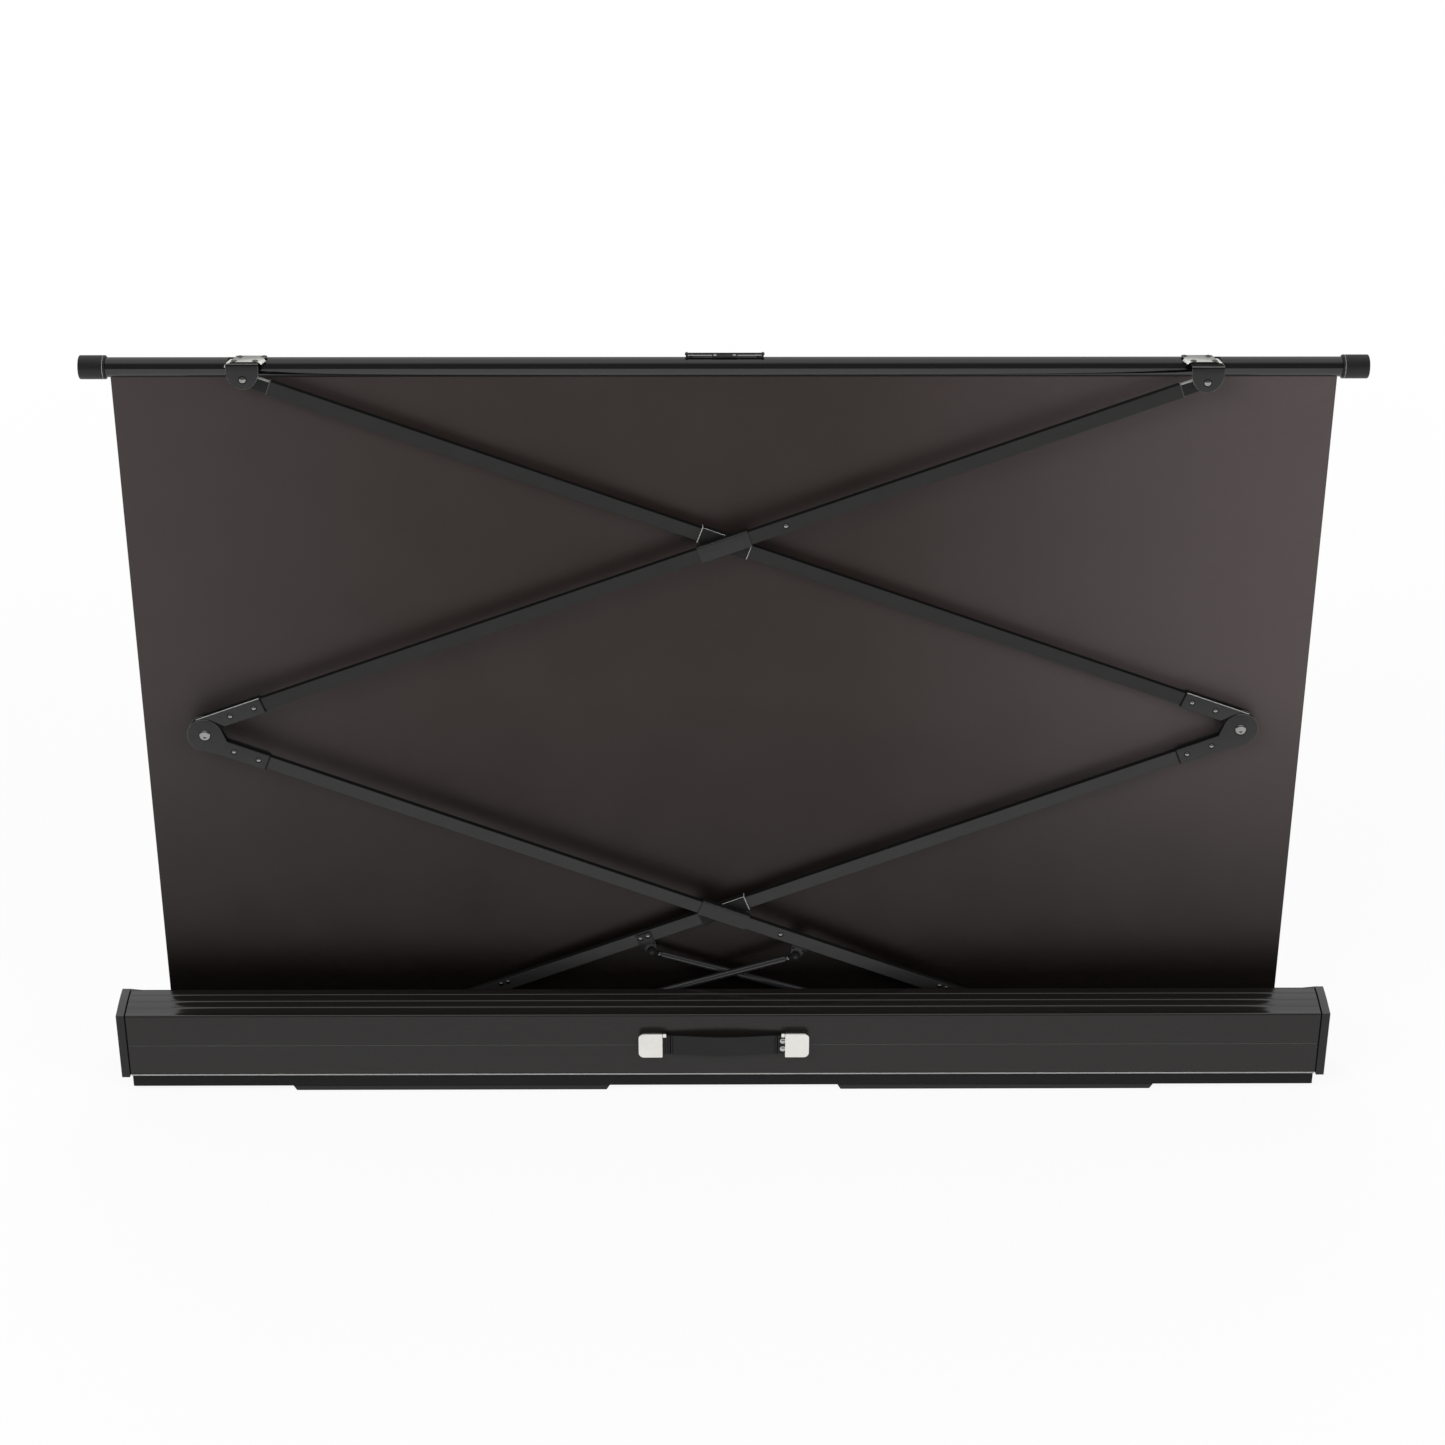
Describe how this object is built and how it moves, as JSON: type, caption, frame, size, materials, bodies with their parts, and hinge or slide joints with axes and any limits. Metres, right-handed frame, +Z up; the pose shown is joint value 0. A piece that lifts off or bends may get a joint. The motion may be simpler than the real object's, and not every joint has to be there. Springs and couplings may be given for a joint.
{
  "type": "portable projection screen",
  "caption": "Floor-standing roll-up projection screen raised from a long low case by crossed folding arms with gas springs, with a round top rail, pull handle, carry strap and turn-out feet.",
  "frame": {"origin": "centre of the bounding box at floor level, under the case", "axes": "+X along the case, -Y the side with the lifting arms and the carry strap, +Y the side that is watched, +Z up"},
  "size_m": [1.98, 0.1702, 1.2488],
  "materials": {
    "case_shell": "satin dark anodised",
    "case_plastic": "satin",
    "arm_metal": "satin grey paint",
    "rail": "gloss black",
    "black_metal": "satin black",
    "black_plastic": "satin black",
    "steel": "bright zinc",
    "chrome": "polished",
    "cylinder": "gloss black",
    "cloth": "coated cloth, dark behind and white in front"
  },
  "bodies": {
    "case": {"rear_cover": "case_shell", "front_wall": "case_shell", "base_rail": "black_metal", "end_cap_left": "case_plastic", "end_cap_right": "case_plastic", "strap_cap_left": "chrome", "strap_cap_right": "chrome", "carry_strap": "black_plastic", "roller_bracket_left": "black_metal", "roller_bracket_right": "black_metal", "spring_arbor": "steel", "screen_fabric": "cloth", "pivot_bracket_outer": "steel", "pivot_bracket_inner": "steel", "pivot_pin_outer": "steel", "pivot_pin_inner": "steel", "spring_mount_outer": "steel", "spring_mount_inner": "steel"},
    "roller": {"roller_tube": "black_metal", "fabric_roll": "cloth", "roller_plug_left": "case_plastic", "roller_plug_right": "case_plastic", "roller_spring": "steel"},
    "outer_lower_arm": {"lower_arm_outer": "arm_metal", "elbow_fork_outer": "black_metal", "elbow_pin_outer": "steel", "spring_hanger_outer": "black_plastic"},
    "outer_upper_arm": {"upper_arm_outer": "arm_metal", "elbow_tongue_outer": "black_metal", "arm_tip_outer": "black_metal"},
    "inner_lower_arm": {"lower_arm_inner": "arm_metal", "elbow_fork_inner": "black_metal", "elbow_pin_inner": "steel", "spring_hanger_inner": "black_plastic"},
    "inner_upper_arm": {"upper_arm_inner": "arm_metal", "elbow_tongue_inner": "black_metal", "arm_tip_inner": "black_metal"},
    "outer_upper_sleeve": {"upper_sleeve_outer": "arm_metal", "upper_cross_pin": "steel"},
    "inner_upper_sleeve": {"upper_sleeve_inner": "arm_metal"},
    "outer_lower_sleeve": {"lower_sleeve_outer": "arm_metal", "lower_cross_pin": "steel"},
    "inner_lower_sleeve": {"lower_sleeve_inner": "arm_metal"},
    "outer_spring_rod": {"spring_rod_outer": "steel"},
    "outer_spring_cylinder": {"spring_cylinder_outer": "cylinder"},
    "inner_spring_rod": {"spring_rod_inner": "steel"},
    "inner_spring_cylinder": {"spring_cylinder_inner": "cylinder"},
    "top_rail": {"top_tube": "rail", "tube_cap_left": "case_plastic", "tube_cap_right": "case_plastic", "top_bracket_left": "chrome", "top_bracket_right": "chrome", "top_pin_left": "steel", "top_pin_right": "steel", "handle_plate": "steel"},
    "pull_bail": {"handle_bail": "steel"},
    "left_foot": {"foot_left": "arm_metal"},
    "right_foot": {"foot_right": "arm_metal"}
  },
  "joints": [
    {"name": "fold", "type": "hinge", "parent": "case", "child": "outer_lower_arm", "pos_m": [0.59, 0.00875, 0.065], "axis": [0, -1, 0], "range_deg": [0, 21.38], "deforming": ["screen_fabric"]},
    {"name": "outer_elbow", "type": "hinge", "parent": "outer_lower_arm", "child": "outer_upper_arm", "pos_m": [-0.81856, 0.00875, 0.62836], "axis": [0, -1, 0], "range_deg": [-41.72, 0]},
    {"name": "top_pivot", "type": "hinge", "parent": "outer_upper_arm", "child": "top_rail", "pos_m": [0.719, 0.00875, 1.21616], "axis": [0, -1, 0], "range_deg": [0, 20.34]},
    {"name": "inner_fold", "type": "hinge", "parent": "case", "child": "inner_lower_arm", "pos_m": [-0.59, 0.02375, 0.065], "axis": [0, -1, 0], "range_deg": [-21.39, 0]},
    {"name": "inner_elbow", "type": "hinge", "parent": "inner_lower_arm", "child": "inner_upper_arm", "pos_m": [0.81856, 0.02375, 0.62836], "axis": [0, -1, 0], "range_deg": [0, 41.72]},
    {"name": "outer_upper_slide", "type": "slide", "parent": "outer_upper_arm", "child": "outer_upper_sleeve", "axis": [0.9377, 0, 0.3474], "range_m": [0, 0.0478]},
    {"name": "inner_upper_slide", "type": "slide", "parent": "inner_upper_arm", "child": "inner_upper_sleeve", "axis": [-0.9377, 0, 0.3474], "range_m": [0, 0.0478]},
    {"name": "outer_lower_slide", "type": "slide", "parent": "outer_lower_arm", "child": "outer_lower_sleeve", "axis": [0.9312, 0, -0.3646], "range_m": [0, 0.0437]},
    {"name": "inner_lower_slide", "type": "slide", "parent": "inner_lower_arm", "child": "inner_lower_sleeve", "axis": [-0.9312, 0, -0.3646], "range_m": [0, 0.0437]},
    {"name": "outer_spring_pivot", "type": "hinge", "parent": "case", "child": "outer_spring_rod", "pos_m": [-0.49, 0.00875, 0.03], "axis": [0, -1, 0], "range_deg": [-16.68, 0]},
    {"name": "outer_spring_slide", "type": "slide", "parent": "outer_spring_rod", "child": "outer_spring_cylinder", "axis": [-0.9565, 0, -0.2918], "range_m": [0, 0.0501]},
    {"name": "inner_spring_pivot", "type": "hinge", "parent": "case", "child": "inner_spring_rod", "pos_m": [0.49, 0.02375, 0.03], "axis": [0, -1, 0], "range_deg": [0, 16.68]},
    {"name": "inner_spring_slide", "type": "slide", "parent": "inner_spring_rod", "child": "inner_spring_cylinder", "axis": [0.9565, 0, -0.2918], "range_m": [0, 0.0501]},
    {"name": "roller_spin", "type": "hinge", "parent": "case", "child": "roller", "pos_m": [0, 0.0594, 0.06], "axis": [1, 0, 0], "range_deg": [0, 3832]},
    {"name": "bail_lift", "type": "hinge", "parent": "top_rail", "child": "pull_bail", "pos_m": [0, 0.05095, 1.24456], "axis": [1, 0, 0], "range_deg": [0, 90]},
    {"name": "left_foot_turn", "type": "hinge", "parent": "case", "child": "left_foot", "pos_m": [-0.4495, -0.00955, 0.005], "axis": [0, 0, 1], "range_deg": [0, 90]},
    {"name": "right_foot_turn", "type": "hinge", "parent": "case", "child": "right_foot", "pos_m": [0.4495, -0.00955, 0.005], "axis": [0, 0, -1], "range_deg": [0, 90]}
  ],
  "couplings": [
    {"joint": "outer_elbow", "follows": "fold", "ratio": -1.9507},
    {"joint": "top_pivot", "follows": "fold", "ratio": 0.95073},
    {"joint": "inner_fold", "follows": "fold", "ratio": -1},
    {"joint": "inner_elbow", "follows": "fold", "ratio": 1.9507},
    {"joint": "outer_upper_slide", "follows": "fold", "m_per_rad": 0.12798},
    {"joint": "inner_upper_slide", "follows": "fold", "m_per_rad": 0.12798},
    {"joint": "outer_lower_slide", "follows": "fold", "m_per_rad": 0.11687},
    {"joint": "inner_lower_slide", "follows": "fold", "m_per_rad": 0.11687},
    {"joint": "outer_spring_pivot", "follows": "fold", "ratio": -0.77954},
    {"joint": "outer_spring_slide", "follows": "fold", "m_per_rad": 0.134},
    {"joint": "inner_spring_pivot", "follows": "fold", "ratio": 0.77954},
    {"joint": "inner_spring_slide", "follows": "fold", "m_per_rad": 0.134},
    {"joint": "roller_spin", "follows": "fold", "ratio": 179.13}
  ]
}
